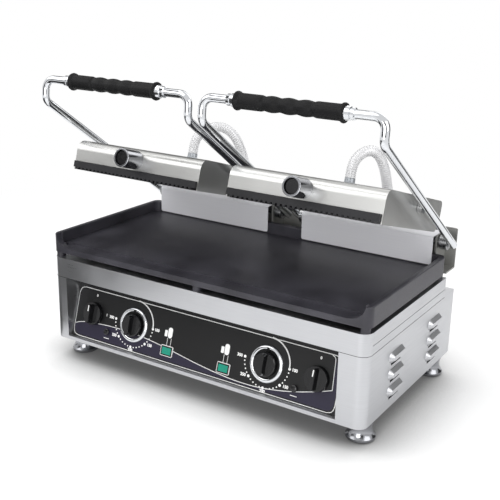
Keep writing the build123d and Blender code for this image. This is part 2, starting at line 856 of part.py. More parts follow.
    # upper plate: ribs run from front to back under a flat casting
    plate_half = lid_half - lid_wall - 0.5
    with BuildPart() as upper_plate:
        rib_count = int((2 * plate_half - rib_land) // rib_pitch)
        first_rib = -(rib_count - 1) * rib_pitch / 2
        flank = (rib_pitch - rib_land - rib_root) / 2
        with BuildSketch(lid_face(middle, -plate_nose + lid_wall + 2.9)):
            with BuildLine():
                outline = [(-plate_half, upper_plate_height), (-plate_half, rib_height)]
                for rib in range(rib_count):
                    centre = first_rib + rib * rib_pitch
                    outline += [
                        (centre - rib_land / 2 - flank, rib_height),
                        (centre - rib_land / 2, 0),
                        (centre + rib_land / 2, 0),
                        (centre + rib_land / 2 + flank, rib_height),
                    ]
                outline += [(plate_half, rib_height), (plate_half, upper_plate_height)]
                Polyline(*outline, close=True)
            make_face()
        extrude(amount=-(lid_depth - 16))
    keep("upper_plate_" + name, upper_plate.part)

    # cover: barrel front, flat top, side walls down beside the plate
    with BuildPart() as lid_cover:
        with BuildSketch(lid_side(middle - lid_half)) as cover_outline:
            with BuildLine():
                Polyline(
                    (plate_nose + 1, 0),
                    (plate_nose + 1, lid_height),
                    (lid_depth - 1, lid_height),
                    (lid_depth, upper_plate_height),
                    (lid_depth - 13, 0),
                    close=True,
                )
            make_face()
            front_top = (plate_nose + 1, lid_height, 0)
            fillet(cover_outline.vertices().sort_by_distance(front_top)[0], lid_front_radius)
            rear_top = (lid_depth - 1, lid_height, 0)
            fillet(cover_outline.vertices().sort_by_distance(rear_top)[0], lid_rear_radius)
        extrude(amount=lid_width)
        with BuildSketch(lid_side(middle - lid_half + lid_wall)):
            with BuildLine():
                low = -1.0
                Line((plate_nose + 1 + lid_wall, low), (plate_nose + 1 + lid_wall, lid_height - lid_front_radius))
                RadiusArc(
                    (plate_nose + 1 + lid_wall, lid_height - lid_front_radius),
                    (plate_nose + 1 + lid_front_radius, lid_height - lid_wall),
                    lid_front_radius - lid_wall,
                )
                Polyline(
                    (plate_nose + 1 + lid_front_radius, lid_height - lid_wall),
                    (lid_depth - lid_rear_radius - 1, lid_height - lid_wall),
                    (lid_depth - lid_wall - 1, lid_height - lid_rear_radius),
                    (lid_depth - lid_wall, upper_plate_height),
                    (lid_depth - 13 - lid_wall, low),
                    (plate_nose + 1 + lid_wall, low),
                )
            make_face()
        extrude(amount=lid_width - 2 * lid_wall, mode=Mode.SUBTRACT)
        # the front sheet ends above the plate's nose
        with BuildSketch(lid_side(middle - lid_half + lid_wall)):
            with BuildLine():
                Polyline(
                    (0, low),
                    (plate_nose + 8, low),
                    (plate_nose + 8, upper_plate_height + seat_gap),
                    (0, upper_plate_height + seat_gap),
                    close=True,
                )
            make_face()
        extrude(amount=lid_width - 2 * lid_wall, mode=Mode.SUBTRACT)
        # pivot holes in both side walls
        with BuildSketch(side_plane(middle - lid_half - 1)):
            with Locations((pivot_y, pivot_z)):
                Circle(pivot_radius + running_gap)
        extrude(amount=lid_width + 2, mode=Mode.SUBTRACT)
    keep("lid_cover_" + name, lid_cover.part)

    # element on top of the upper plate
    heater_bed = lid_top(middle, lid_depth / 2, upper_plate_height + element_radius + element_play)
    heater_width = lid_width - 2 * lid_element_margin
    heater_depth = lid_depth - 2 * element_end_margin
    keep("lid_element_" + name, element(heater_bed, heater_width, heater_depth))

    # front knob: turned sleeve with a rolled rim, and a black cap in its cup
    with BuildPart() as lid_knob:
        with BuildSketch(lid_face(middle, plate_nose + 1)):
            with Locations((0, knob_rise)):
                Circle(knob_radius)
        extrude(amount=knob_length)
        front_rim = lid_knob.edges().filter_by(GeomType.CIRCLE).sort_by(Axis.Y)[0]
        fillet(front_rim, 1.2)
        with BuildSketch(lid_face(middle, plate_nose + 1 - knob_length)):
            with Locations((0, knob_rise)):
                Circle(knob_cup)
        extrude(amount=-knob_cup_depth, mode=Mode.SUBTRACT)
    keep("lid_knob_" + name, lid_knob.part)
    with BuildPart() as lid_knob_cap:
        with BuildSketch(lid_face(middle, plate_nose + 1 - knob_length + knob_cup_depth)):
            with Locations((0, knob_rise)):
                Circle(knob_cup - running_gap)
        extrude(amount=knob_cup_depth - 3)
        cap_rim = lid_knob_cap.edges().filter_by(GeomType.CIRCLE).sort_by(Axis.Y)[0]
        chamfer(cap_rim, 1.5)
    keep("lid_knob_cap_" + name, lid_knob_cap.part)

    # gland on the upper unit, then the ribbed conduit over to the hinge carrier
    front_x, rear_x = conduit_ends[name]
    corner = lid_side(middle).origin
    gland_along = (conduit_front_y - middle_y - corner.Y - lid_height * tilt_sin) / tilt_cos
    gland_plane = lid_top(front_x, gland_along, lid_height)
    with BuildPart() as lid_gland:
        with BuildSketch(gland_plane):
            RegularPolygon(gland_radius, 6)
        extrude(amount=gland_height / 2)
        with BuildSketch(gland_plane.offset(gland_height / 2)):
            Circle(gland_radius - 1.5)
        extrude(amount=gland_height / 2)
    keep("lid_gland_" + name, lid_gland.part)

    tube_start = gland_plane.origin + gland_plane.z_dir * gland_height
    tube_end = Vector(rear_x, shift(conduit_rear_y), carrier_base + carrier_sheet + gland_height)
    first_bend = tube_start + gland_plane.z_dir * conduit_lead
    span = Vector(tube_end.X - first_bend.X, tube_end.Y - first_bend.Y, 0)
    arch_radius = span.length / 2
    crown_front = Vector(first_bend.X, first_bend.Y, first_bend.Z + conduit_lead + arch_radius)
    crown_rear = crown_front + span
    lead_radius = conduit_lead * 0.9 / sin(radians(lid_tilt))
    with BuildLine() as conduit_route:
        FilletPolyline(
            tube_start,
            first_bend,
            crown_front,
            crown_rear,
            tube_end,
            radius=[lead_radius, arch_radius * 0.98, arch_radius * 0.98],
        )
    route = conduit_route.wires()[0]
    steady = span.cross(Vector(0, 0, 1)).normalized()

    def across(distance):
        """plane square to the conduit, that far along it"""
        share = distance / route.length
        along = (route % share).normalized()
        first = steady - along * steady.dot(along)
        return Plane(origin=route @ share, x_dir=first, z_dir=along)

    plain_end = 2 * conduit_radius
    ribbed = route.length - 2 * plain_end
    conduit_ribs = int(ribbed // conduit_pitch)
    pitch = ribbed / conduit_ribs
    with BuildPart() as conduit:
        with BuildSketch(across(0)):
            Circle(conduit_valley)
        for rib in range(conduit_ribs):
            for share, radius in (
                (0.08, conduit_valley),
                (0.28, conduit_radius),
                (0.72, conduit_radius),
                (0.92, conduit_valley),
            ):
                with BuildSketch(across(plain_end + (rib + share) * pitch)):
                    Circle(radius)
        with BuildSketch(across(route.length)):
            Circle(conduit_valley)
        loft(ruled=True)
        with BuildSketch(across(0)):
            Circle(conduit_bore)
        sweep(path=route, mode=Mode.SUBTRACT)
    print("conduit", name, "ribs", conduit_ribs, "length", round(route.length, 1))
    print("conduit", name, "radii", round(lead_radius, 1), round(arch_radius * 0.98, 1))
    keep("conduit_" + name, conduit.part)

with BuildPart() as carrier_glands:
    for name in hand:
        rear_x = conduit_ends[name][1]
        with BuildSketch(level_plane(carrier_base + carrier_sheet)):
            with Locations((rear_x, conduit_rear_y)):
                Circle(gland_radius - 2.5)
        extrude(amount=gland_height)
keep("carrier_glands", carrier_glands.part)

# Controls, the same on both halves of the panel
for name, side in hand.items():
    # thermostat knob with its spindle, and the chrome ring around it
    spot = panel_plane()
    spot.origin = spot.origin + spot.x_dir * side * thermostat_offset + spot.y_dir * knob_row
    with BuildPart() as thermostat_ring:
        with BuildSketch(spot.offset(1.0)):
            Circle(thermostat_radius)
            Circle(thermostat_grip + 0.2, mode=Mode.SUBTRACT)
        extrude(amount=6)
        outer_rim = thermostat_ring.edges().filter_by(GeomType.CIRCLE).sort_by(Axis.Y)[:2]
        chamfer(outer_rim, 1.0)
        # gap that marks the setting, at twelve o'clock when the knob is at zero
        with BuildSketch(spot.offset(3.5)):
            with Locations((0, thermostat_radius)):
                Rectangle(4.0, 2.2 * (thermostat_radius - thermostat_grip))
        extrude(amount=6, mode=Mode.SUBTRACT)
    keep("thermostat_ring_" + name, thermostat_ring.part)
    with BuildPart() as thermostat_knob:
        with BuildSketch(spot.offset(1.0)):
            Circle(thermostat_grip)
        extrude(amount=9)
        face_edge = thermostat_knob.edges().filter_by(GeomType.CIRCLE).sort_by(Axis.Y)[0]
        chamfer(face_edge, 1.5)
        with BuildSketch(spot.offset(8.0)):
            SlotOverall(2 * thermostat_grip - 3, 9.5, rotation=90)
        extrude(amount=11, taper=6)
        with BuildSketch(spot.offset(-spindle_depth)):
            Circle(spindle_radius)
        extrude(amount=spindle_depth + 1.5)
    keep("thermostat_knob_" + name, thermostat_knob.part)

    # rotary switch knob with a cross ridge
    spot = panel_plane()
    spot.origin = spot.origin + spot.x_dir * side * switch_offset + spot.y_dir * knob_row
    with BuildPart() as switch_knob:
        with BuildSketch(spot.offset(1.0)):
            Circle(switch_radius)
        extrude(amount=7, taper=8)
        with BuildSketch(spot.offset(6.0)):
            SlotOverall(2 * switch_radius - 5, 8.5, rotation=90)
        extrude(amount=12, taper=6)
        with BuildSketch(spot.offset(-spindle_depth)):
            Circle(spindle_radius)
        extrude(amount=spindle_depth + 1.5)
    keep("switch_knob_" + name, switch_knob.part)

    # reset button of the safety cut-out
    spot = panel_plane()
    spot.origin = spot.origin + spot.x_dir * side * reset_offset + spot.y_dir * reset_row
    with BuildPart() as reset_button:
        with BuildSketch(spot.offset(-reset_depth)):
            Circle(reset_radius)
        extrude(amount=reset_depth + reset_proud)
        button_rim = reset_button.edges().filter_by(GeomType.CIRCLE).sort_by(Axis.Y)[0]
        chamfer(button_rim, 0.8)
    keep("reset_button_" + name, reset_button.part)

    # pilot lamp: lens through the panel with its body behind
    spot = panel_plane()
    spot.origin = spot.origin + spot.x_dir * side * lamp_offset + spot.y_dir * lamp_row
    with BuildPart() as pilot_lamp:
        with BuildSketch(spot.offset(-20)):
            Rectangle(lamp_width - 2 * running_gap, lamp_height - 2 * running_gap)
        extrude(amount=22)
        lens_top = pilot_lamp.faces().sort_by(Axis.Y)[0]
        chamfer(lens_top.edges(), 0.8)
    keep("pilot_lamp_" + name, pilot_lamp.part)

# White bezels around the lamps
with BuildPart() as lamp_bezels:
    with BuildSketch(panel_plane()):
        with Locations(lamp_places):
            RectangleRounded(lamp_width + 2 * bezel_margin, lamp_height + 2 * bezel_margin, 2)
            Rectangle(lamp_width, lamp_height, mode=Mode.SUBTRACT)
    extrude(amount=1.2)
keep("lamp_bezels", lamp_bezels.part)

# Bodies behind the panel: thermostats, switches, safety cut-outs
with BuildPart() as thermostats:
    with BuildSketch(panel_plane(-panel_thickness)):
        with Locations(*[place for place in knob_places if abs(place[0]) < switch_offset]):
            Rectangle(thermostat_body[0], thermostat_body[1])
            Circle(spindle_radius + body_clearance, mode=Mode.SUBTRACT)
    extrude(amount=-thermostat_body[2])
keep("thermostats", thermostats.part)
with BuildPart() as switches:
    with BuildSketch(panel_plane(-panel_thickness)):
        with Locations(*[place for place in knob_places if abs(place[0]) == switch_offset]):
            Rectangle(switch_body[0], switch_body[1])
            Circle(spindle_radius + body_clearance, mode=Mode.SUBTRACT)
    extrude(amount=-switch_body[2])
keep("switches", switches.part)
with BuildPart() as safety_cutouts:
    cutout_face = reset_depth + reset_travel + seat_gap
    with BuildSketch(panel_plane(-cutout_face)):
        with Locations(reset_places):
            Circle(cutout_radius)
    extrude(amount=-cutout_length)
    # neck around the button, held against the back of the panel
    with BuildSketch(panel_plane(-cutout_face)):
        with Locations(reset_places):
            Circle(2 * reset_radius)
            Circle(reset_radius + seat_gap, mode=Mode.SUBTRACT)
    extrude(amount=cutout_face - panel_thickness)
keep("safety_cutouts", safety_cutouts.part)

# Terminal block on the bottom plate and the cable gland in the rear panel
terminal_place = (gland_x + terminal_inset, body_depth - terminal_inset)
with BuildPart() as terminal_block:
    with BuildSketch(level_plane(foot_height + wall)):
        with Locations(terminal_place):
            Rectangle(terminal_body[0], terminal_body[1])
    extrude(amount=terminal_body[2])
    with BuildSketch(level_plane(foot_height + wall + terminal_body[2])):
        with Locations(terminal_place):
            with GridLocations(terminal_pitch, 1, 4, 1):
                Circle(terminal_hole)
    extrude(amount=-terminal_hole_depth, mode=Mode.SUBTRACT)
keep("terminal_block", terminal_block.part)

with BuildPart() as cable_gland:
    gland_face = Plane(
        origin=(gland_x, shift(body_depth - seat_gap), gland_z), x_dir=(-1, 0, 0), z_dir=(0, 1, 0)
    )
    with BuildSketch(gland_face):
        RegularPolygon(cable_gland_radius + 4, 6)
    extrude(amount=cable_gland_nut)
    with BuildSketch(gland_face.offset(cable_gland_nut)):
        Circle(cable_gland_radius + 1)
    extrude(amount=cable_gland_length - cable_gland_nut, taper=8)
    with BuildSketch(gland_face.offset(-cable_gland_inner)):
        Circle(cable_gland_radius - running_gap)
    extrude(amount=cable_gland_inner)
    with BuildSketch(gland_face.offset(-cable_gland_inner)):
        Circle(gland_bore)
    extrude(amount=cable_gland_inner + cable_gland_length, mode=Mode.SUBTRACT)
keep("cable_gland", cable_gland.part)

print(len(finished), "pieces")

# Closing motion: the plates meet level with a small gap over the cooking face
closed_gap = 1.0
closing = arm_angle - degrees(asin((cook_z + closed_gap + pivot_up - hinge_z) / pivot_reach))
print("hinge", round(shift(hinge_y), 3), hinge_z, "pivot", round(shift(pivot_y), 3), round(pivot_z, 3))
print("closing angle", round(closing, 3), "ratio", round(lid_tilt / closing - 1, 5))
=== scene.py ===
import bpy
from math import cos, pi, radians, sin
from mathutils import Matrix, Vector


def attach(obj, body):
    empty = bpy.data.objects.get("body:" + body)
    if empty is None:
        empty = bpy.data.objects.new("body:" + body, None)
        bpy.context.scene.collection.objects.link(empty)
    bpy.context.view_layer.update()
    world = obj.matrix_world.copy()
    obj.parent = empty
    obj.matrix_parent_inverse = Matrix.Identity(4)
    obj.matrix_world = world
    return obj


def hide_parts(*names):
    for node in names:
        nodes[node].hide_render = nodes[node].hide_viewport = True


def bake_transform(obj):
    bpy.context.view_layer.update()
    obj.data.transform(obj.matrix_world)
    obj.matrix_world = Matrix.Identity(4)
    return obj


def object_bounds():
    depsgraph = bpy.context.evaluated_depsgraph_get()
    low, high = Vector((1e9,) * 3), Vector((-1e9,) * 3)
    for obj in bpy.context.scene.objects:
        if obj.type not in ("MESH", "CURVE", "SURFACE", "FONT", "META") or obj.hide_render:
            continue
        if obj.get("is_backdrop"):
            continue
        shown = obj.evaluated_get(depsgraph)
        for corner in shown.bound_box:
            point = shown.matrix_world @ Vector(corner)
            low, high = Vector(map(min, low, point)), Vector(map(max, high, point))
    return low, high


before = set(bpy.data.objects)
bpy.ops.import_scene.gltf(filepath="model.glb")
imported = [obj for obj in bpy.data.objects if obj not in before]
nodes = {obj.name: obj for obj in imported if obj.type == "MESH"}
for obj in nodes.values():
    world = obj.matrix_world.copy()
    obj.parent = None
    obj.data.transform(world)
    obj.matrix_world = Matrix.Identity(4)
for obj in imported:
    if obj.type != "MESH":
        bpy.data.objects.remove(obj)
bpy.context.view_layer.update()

print("frame loaded:", len(nodes), "pieces")

# camera: same lens and place as the photograph
camera = {"place": (0.71495, -1.13711, 0.63390), "lens": 62.83, "sensor": 36, "nearest": 0.05,
          "turn": 32.414, "down": 17.994, "roll": 1.179}
bpy.ops.object.camera_add(location=camera["place"])
cameraObject = bpy.context.object
turn, down = radians(camera["turn"]), radians(camera["down"])
lookAt = Vector((-sin(turn) * cos(down), cos(turn) * cos(down), -sin(down)))
aim = lookAt.to_track_quat("-Z", "Y").to_matrix() @ Matrix.Rotation(radians(camera["roll"]), 3, "Z")
cameraObject.rotation_euler = aim.to_euler()
cameraObject.data.lens = camera["lens"]
cameraObject.data.sensor_width = camera["sensor"]
cameraObject.data.clip_start = camera["nearest"]
bpy.context.scene.camera = cameraObject
print("camera placed")


# shared helpers

def pick(*objects):
    if bpy.context.object and bpy.context.object.mode != "OBJECT":
        bpy.ops.object.mode_set(mode="OBJECT")
    bpy.ops.object.select_all(action="DESELECT")
    for item in objects:
        item.select_set(True)
        bpy.context.view_layer.objects.active = item


def settle(piece):
    # the place goes into the mesh, the object stays at the origin
    pick(piece)
    bpy.ops.object.transform_apply(location=True, rotation=True, scale=True)


def toMesh(piece):
    pick(piece)
    bpy.ops.object.convert(target="MESH")
    return bpy.context.object


def joinPieces(name, parts):
    pick(*parts)
    bpy.ops.object.join()
    bpy.context.object.name = name
    return bpy.context.object


def selectVertices(mesh, test):
    # back in object mode to set the selection, then edit mode again
    bpy.ops.object.mode_set(mode="EDIT")
    bpy.ops.mesh.select_mode(type="VERT")
    bpy.ops.mesh.select_all(action="DESELECT")
    bpy.ops.object.mode_set(mode="OBJECT")
    for vertex in mesh.vertices:
        vertex.select = test(vertex.co)
    bpy.ops.object.mode_set(mode="EDIT")


def applyAll(piece):
    pick(piece)
    for modifier in list(piece.modifiers):
        bpy.ops.object.modifier_apply(modifier=modifier.name)


def faceOutwards(smooth):
    # of the active piece: normals recalculated, then shaded smooth up to this angle
    bpy.ops.object.mode_set(mode="EDIT")
    bpy.ops.mesh.select_all(action="SELECT")
    bpy.ops.mesh.normals_make_consistent(inside=False)
    bpy.ops.object.mode_set(mode="OBJECT")
    bpy.ops.object.shade_smooth_by_angle(angle=radians(smooth))


def roundEdges(piece, width):
    bevel = piece.modifiers.new("rounding", "BEVEL")
    bevel.width = width
    bevel.segments = 2
    applyAll(piece)


def turned(name, steps, sides, smooth, hollow=False):
    # a circle pulled up step by step: each step is (height, radius) in mm; the axis is z
    bpy.ops.mesh.primitive_circle_add(vertices=sides, radius=steps[0][1] / 1000,
                                      location=(0, 0, steps[0][0] / 1000))
    piece = bpy.context.object
    piece.name = name
    settle(piece)
    bpy.ops.object.mode_set(mode="EDIT")
    bpy.ops.mesh.select_all(action="SELECT")
    if not hollow:
        bpy.ops.mesh.edge_face_add()
    for before, after in zip(steps, steps[1:]):
        rise, grow = (after[0] - before[0]) / 1000, after[1] / before[1]
        bpy.ops.mesh.extrude_region_move(TRANSFORM_OT_translate={"value": (0, 0, rise)})
        bpy.ops.transform.resize(value=(grow, grow, 1), center_override=(0, 0, after[0] / 1000))
    bpy.ops.mesh.select_all(action="SELECT")
    bpy.ops.mesh.remove_doubles(threshold=0.00002)
    bpy.ops.object.mode_set(mode="OBJECT")
    faceOutwards(smooth)
    return piece


# materials

def colourOf(hexCode):
    values = [int(hexCode[i:i + 2], 16) / 255 for i in (1, 3, 5)]
    return tuple(c / 12.92 if c <= 0.04045 else ((c + 0.055) / 1.055) ** 2.4 for c in values) + (1.0,)


def addNode(tree, kind, settings=None, links=None):
    node = tree.nodes.new(kind)
    for key, value in (settings or {}).items():
        if isinstance(key, str) and hasattr(node, key):
            setattr(node, key, value)
        else:
            node.inputs[key].default_value = value
    for key, source in (links or {}).items():
        tree.links.new(source, node.inputs[key])
    return node


# noise seldom leaves the middle of its range, so each use stretches that part
noiseSpan, cloudSpan = {1: 0.3, 2: 0.7}, {1: 0.35, 2: 0.65}
cloudSize = 90      # mm, the slow drift that handling and rolling leave in a surface
cloudRough = 0.12   # share of the roughness that it takes or gives


def surface(name, look):
    # grain is the size in mm of one grain along x, y and z; depth is its height in mm
    material = bpy.data.materials.new(name)
    material.use_nodes = True
    tree = material.node_tree
    shader = tree.nodes["Principled BSDF"]
    shader.inputs["Metallic"].default_value = look.get("metallic", 0.0)
    for socket, value in look.get("extra", {}).items():
        shader.inputs[socket].default_value = value
    place = addNode(tree, "ShaderNodeTexCoord").outputs["Object"]
    stretch = addNode(tree, "ShaderNodeMapping", {"Scale": tuple(1000 / size for size in look["grain"])},
                      {"Vector": place})
    grain = addNode(tree, "ShaderNodeTexNoise", {"Scale": 1.0, "Detail": 3.0, "Roughness": 0.6},
                    {"Vector": stretch.outputs["Vector"]}).outputs["Fac"]
    drift = addNode(tree, "ShaderNodeTexNoise", {"Scale": 1000 / look.get("drift", cloudSize), "Detail": 2.0},
                    {"Vector": place}).outputs["Fac"]
    low, high = look["rough"]
    grainShare = addNode(tree, "ShaderNodeMapRange", {**noiseSpan, 3: low, 4: high}, {0: grain})
    driftShare = addNode(tree, "ShaderNodeMapRange", {**noiseSpan, 3: 1 - cloudRough, 4: 1 + cloudRough},
                         {0: drift})
    rough = addNode(tree, "ShaderNodeMath", {"operation": "MULTIPLY"},
                    {0: grainShare.outputs[0], 1: driftShare.outputs[0]})
    tree.links.new(rough.outputs[0], shader.inputs["Roughness"])
    share = grain
    if "driftTint" in look:
        share = addNode(tree, "ShaderNodeMapRange", {**cloudSpan, 3: 0.0, 4: 1.0}, {0: drift}).outputs[0]
    tint = addNode(tree, "ShaderNodeMix", {"data_type": "RGBA"}, {0: share})
    tint.inputs[6].default_value = colourOf(look["colour"])
    tint.inputs[7].default_value = colourOf(look.get("driftTint", look.get("tint", look["colour"])))
    tree.links.new(tint.outputs[2], shader.inputs["Base Color"])
    bump = addNode(tree, "ShaderNodeBump", {"Strength": 1.0, "Distance": look["depth"] / 1000},
                   {"Height": grain})
    tree.links.new(bump.outputs["Normal"], shader.inputs["Normal"])
    return material


finishes = {
    # 304 stainless sheet, belt brushed along its length: fine level lines, soft wide reflections
    "stainless sheet, brushed": {"colour": "#c9cacd", "tint": "#bfc0c3", "metallic": 1.0, "rough": (0.30, 0.42),
                                 "grain": (60, 60, 0.9), "depth": 0.0015},
    # the same sheet on the covers, brushed along x so that the lines also run over their tops
    "stainless cover, brushed": {"colour": "#d0d0ce", "tint": "#c6c6c4", "metallic": 1.0, "rough": (0.31, 0.36),
                                 "grain": (80, 0.9, 0.9), "depth": 0.0006},
    # the spring covers, ground duller, and painted near white and barely metallic: painted light that keeps
    # them bright in the shade of the lids, in front of the dark plate
    "stainless sheet, ground, painted pale": {"colour": "#ececf0", "tint": "#e3e3e8", "metallic": 0.15, "rough": (0.42, 0.54),
                                "grain": (80, 0.9, 0.9), "depth": 0.0015},
    # bright chrome plate on polished steel: mirror-like, only faint waves
    "steel, chrome plated": {"colour": "#dddfe2", "metallic": 1.0, "rough": (0.05, 0.10),
                             "grain": (25, 25, 25), "depth": 0.02},
    # the same plate on the cast feet and the front knobs, duller: softer, greyer reflections
    "steel, satin chrome": {"colour": "#9c9da1", "metallic": 1.0, "rough": (0.16, 0.24),
                            "grain": (25, 25, 25), "depth": 0.01},
    # seasoned enamelled cast iron: near black, satin, with the sand-cast grain (drawn at 1.2 mm to show); on
    # the plate spacers the same black is painted shade, so that the gap they stand in reads dark
    "cast iron, black enamelled, and spacer shade": {"colour": "#2e2d33", "driftTint": "#3f3e45", "rough": (0.32, 0.46),
                                   "grain": (1.2, 1.2, 1.2), "depth": 0.05, "drift": 60,
                                   "extra": {"Specular IOR Level": 0.42}},
    # the upper plates, blacker from the smoke of cooking
    "cast iron, seasoned": {"colour": "#1a1a1c", "driftTint": "#222225", "rough": (0.36, 0.5),
                            "grain": (1.2, 1.2, 1.2), "depth": 0.05, "drift": 60,
                            "extra": {"Specular IOR Level": 0.34}},
    # the pressed steel carrier: stainless, made greyer than the sheet as painted shade, with a thin fine grain
    "stainless, greyed as painted shade": {"colour": "#a9a9a6", "tint": "#979794", "metallic": 0.7, "rough": (0.38, 0.5),
                            "grain": (2, 2, 2), "depth": 0.01},
    # screen printed polyester front film, satin black
    "polyester film, satin black": {"colour": "#151516", "tint": "#19191a", "rough": (0.34, 0.42),
                                    "grain": (0.8, 0.8, 0.8), "depth": 0.002,
                                    "extra": {"Specular IOR Level": 0.3}},
    # the violet ink of the lower field: as flat as the film, a little lighter and bluer
    "screen ink, dark violet": {"colour": "#262334", "tint": "#2a2738", "rough": (0.36, 0.44),
                                "grain": (0.8, 0.8, 0.8), "depth": 0.002, "extra": {"Specular IOR Level": 0.3}},
    # opaque white screen ink: flat, without shine
    "screen ink, white": {"colour": "#eeeeec", "tint": "#f4f4f4", "rough": (0.45, 0.55),
                          "grain": (0.5, 0.5, 0.5), "depth": 0.002},
    # compression moulded phenolic, polished in its mould: black, glossy, deep
    "phenolic, moulded glossy": {"colour": "#101012", "tint": "#151517", "rough": (0.14, 0.22),
                                 "grain": (6, 6, 6), "depth": 0.01, "extra": {"Specular IOR Level": 0.5}},
    # the same resin from an eroded mould: a dry, finely pitted skin
    "phenolic, moulded matt": {"colour": "#111112", "tint": "#161617", "rough": (0.42, 0.56),
                               "grain": (0.6, 0.6, 0.6), "depth": 0.02, "extra": {"Specular IOR Level": 0.16}},
    # injection moulded ABS of the bezels: even white with a soft shine
    "abs, moulded white": {"colour": "#e9e9e7", "tint": "#f0f0ee", "rough": (0.3, 0.4),
                           "grain": (3, 3, 3), "depth": 0.005},
    # tinted polycarbonate lens over a small lamp, with a faint prism pattern
    "polycarbonate, green lens": {"colour": "#087a66", "tint": "#10987f", "rough": (0.12, 0.2),
                                  "grain": (2.4, 2.4, 2.4), "depth": 0.12,
                                  "extra": {"Transmission Weight": 0.15, "Emission Color": colourOf("#12a58a"),
                                            "Emission Strength": 0.12}},
    # galvanised wound hose: pale zinc that spreads the light, so that its ribs stay bright
    "steel hose, galvanised": {"colour": "#e6e6e7", "tint": "#dcdcde", "metallic": 0.35, "rough": (0.34, 0.44),
                               "grain": (4, 4, 4), "depth": 0.005},
    # zinc plated sheet with its faint cloudy spangle
    "steel sheet, zinc plated": {"colour": "#aeb1b5", "driftTint": "#9da1a6", "metallic": 0.9,
                                 "rough": (0.32, 0.46), "grain": (8, 8, 8), "depth": 0.01, "drift": 30},
    # turned steel: fine tool marks around the x axis draw its highlight out
    "steel, turned": {"colour": "#a7a8aa", "tint": "#979899", "metallic": 1.0, "rough": (0.22, 0.34),
                      "grain": (0.5, 30, 30), "depth": 0.005},
    # oil tempered spring wire: dark grey with a dull sheen
    "spring steel, oiled": {"colour": "#4c4c50", "tint": "#3f3f42", "metallic": 0.9, "rough": (0.28, 0.4),
                            "grain": (1, 1, 1), "depth": 0.01},
    # annealed element sheath: grey, with brown heat tint in clouds
    "element sheath, annealed": {"colour": "#4a4542", "driftTint": "#5d4d42", "metallic": 0.8,
                                 "rough": (0.4, 0.55), "grain": (2, 2, 2), "depth": 0.01, "drift": 40},
    # moulded nitrile rubber: black and dry
    "rubber, moulded": {"colour": "#191919", "tint": "#222222", "rough": (0.65, 0.8),
                        "grain": (0.8, 0.8, 0.8), "depth": 0.02},
}
materials = {name: surface(name, look) for name, look in finishes.items()}
print("materials made:", len(materials))


def dress(piece, name):
    piece.data.materials.clear()
    piece.data.materials.append(materials[name])


wardrobe = {
    "stainless sheet, brushed": ["base_housing", "top_frame", "rear_panel"],
    "stainless cover, brushed": ["lid_cover_left", "lid_cover_right"],
    # the spring covers wear a paler, barely metallic copy of the stainless, as painted light
    "stainless sheet, ground, painted pale": ["spring_cover_left", "spring_cover_right"],
    "steel, satin chrome": ["feet", "lid_knob_left", "lid_knob_right"],
    "steel, chrome plated": ["handle_left", "handle_right", "ferrules_left", "ferrules_right",
                             "thermostat_ring_left", "thermostat_ring_right"],
    # the plate spacers are dressed black as painted shade in their gap
    "cast iron, black enamelled, and spacer shade": ["lower_plate", "plate_spacers"],
    "cast iron, seasoned": ["upper_plate_left", "upper_plate_right"],
    # the hinge carrier wears a greyer copy of the stainless, as painted shade
    "stainless, greyed as painted shade": ["hinge_carrier"],
    "polyester film, satin black": ["control_panel"],
    "phenolic, moulded glossy": ["lid_knob_cap_left", "lid_knob_cap_right", "thermostat_knob_left",
                                 "thermostat_knob_right", "switch_knob_left", "switch_knob_right",
                                 "reset_button_left", "reset_button_right", "thermostats", "switches",
                                 "safety_cutouts"],
    "phenolic, moulded matt": ["grip_left", "grip_right", "cable_gland"],
    "abs, moulded white": ["lamp_bezels", "terminal_block"],
    "polycarbonate, green lens": ["pilot_lamp_left", "pilot_lamp_right"],
    "steel sheet, zinc plated": ["bottom_plate", "heat_shield", "carrier_glands", "lid_gland_left",
                                 "lid_gland_right"],
    "steel, turned": ["hinge_shaft_left", "hinge_shaft_right", "pivot_pins_left", "pivot_pins_right"],
    "spring steel, oiled": ["torsion_spring_left", "torsion_spring_right"],
    "element sheath, annealed": ["lower_element_left", "lower_element_right", "lid_element_left",
                                 "lid_element_right"],
    "steel hose, galvanised": ["conduit_left", "conduit_right"],
    "rubber, moulded": ["foot_pads"],
}
for finish, names in wardrobe.items():
    for name in names:
        dress(nodes[name], finish)
print("CAD pieces dressed")

# wiring conduits: one rib is modelled, repeated, and laid along the arch
conduit = {
    "crest": 0.0086, "valley": 0.0078, "pitch": 0.0036, "around": 24,
    "rib": (0.22, 0.3, 0.22, 0.26),     # rise, crest, fall and valley, in shares of the pitch
    "meet": 0.2,                        # share of the way down from the crown where the bending starts
    "left": [(-0.181, 0.080562, 0.319894), (-0.181, 0.084211, 0.332371), (-0.181, 0.084211, 0.373),
             (-0.103, 0.143694, 0.373), (-0.103, 0.143694, 0.1965)],
    "right": [(0.126, 0.080562, 0.319894), (0.126, 0.084211, 0.332371), (0.126, 0.084211, 0.367),
              (0.169, 0.143694, 0.367), (0.169, 0.143694, 0.1965)],
}


def conduitRoute(points):
    line = bpy.data.curves.new("route", "CURVE")
    line.dimensions = "3D"
    line.twist_mode = "MINIMUM"
    spline = line.splines.new("NURBS")
    spline.points.add(len(points) - 1)
    for point, place in zip(spline.points, points):
        point.co = (*place, 1)
    spline.order_u = 4
    spline.use_endpoint_u = True
    spline.resolution_u = 24
    route = bpy.data.objects.new("route", line)
    bpy.context.collection.objects.link(route)
    corners = [v.co.copy() for v in bpy.data.meshes.new_from_object(route).vertices]
    length = sum((b - a).length for a, b in zip(corners, corners[1:]))
    gone, middle = 0.0, corners[0]
    for a, b in zip(corners, corners[1:]):
        gone += (b - a).length
        if gone < length / 2:
            middle = b
    return route, length, middle


